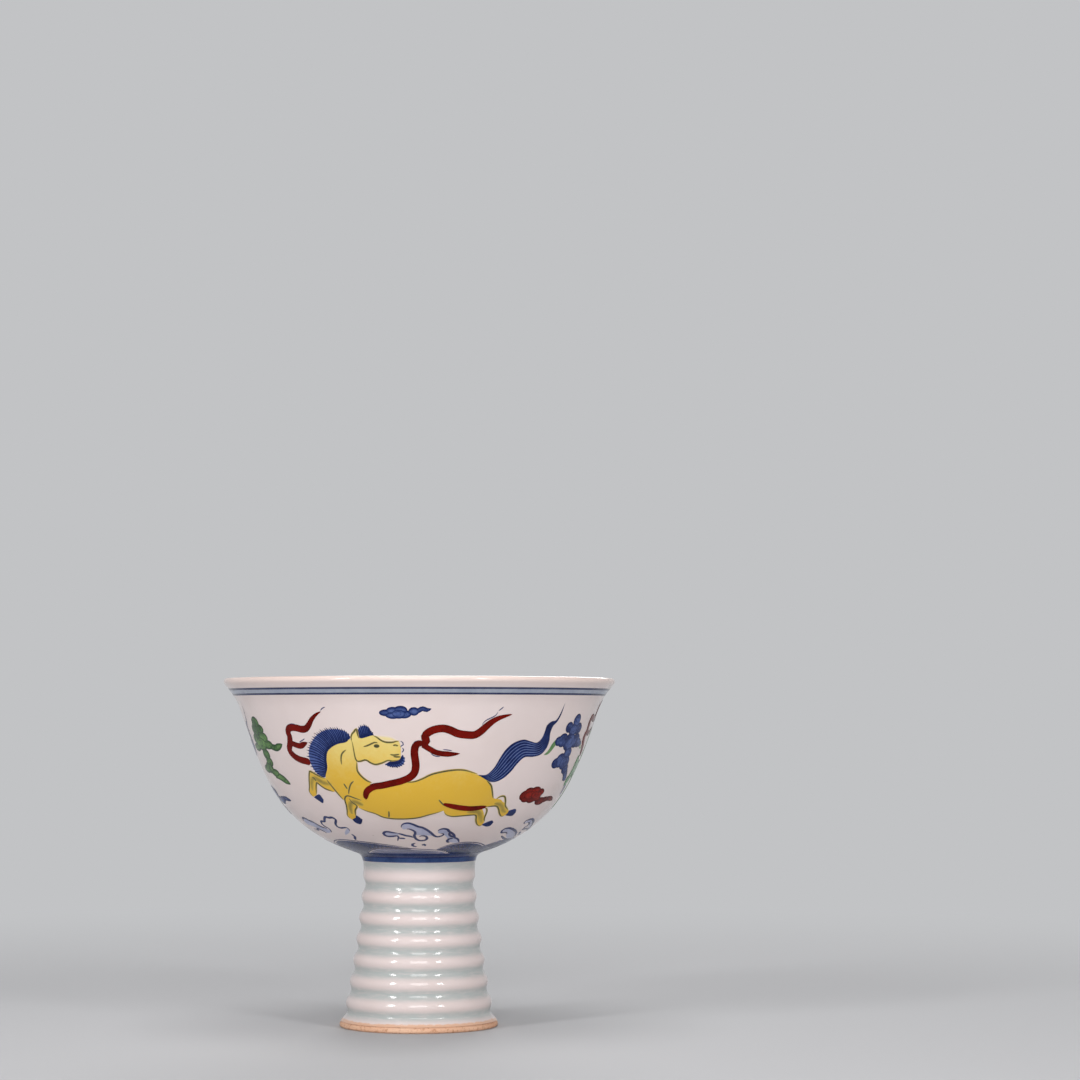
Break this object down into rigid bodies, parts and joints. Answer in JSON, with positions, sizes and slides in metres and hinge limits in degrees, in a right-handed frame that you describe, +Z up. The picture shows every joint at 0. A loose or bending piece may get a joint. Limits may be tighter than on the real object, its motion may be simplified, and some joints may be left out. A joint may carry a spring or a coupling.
{
  "type": "stem cup",
  "caption": "Porcelain stem cup: a rounded bowl with a flared lip on a hollow, ribbed stem that widens to a bare foot ring; glazed inside and out, for drinking or display.",
  "frame": {"origin": "centre of the foot, on the surface the cup stands on", "axes": "+Z up along the cup's axis of turning; -Y towards the viewer of the picture; +X to the viewer's right"},
  "size_m": [0.085, 0.085, 0.075],
  "materials": {
    "clay": "bare fired porcelain, tan where it shows",
    "slip": "fired luting slip, not seen",
    "bowl_glaze": "clear gloss glaze over white clay",
    "stem_glaze": "gloss glaze, grey-green where it pools"
  },
  "bodies": {
    "root": {"bowl_body": "clay", "stem_body": "clay", "luting_slip": "slip", "bowl_outer_glaze": "bowl_glaze", "bowl_inner_glaze": "bowl_glaze", "stem_outer_glaze": "stem_glaze", "stem_inner_glaze": "stem_glaze"}
  },
  "joints": []
}
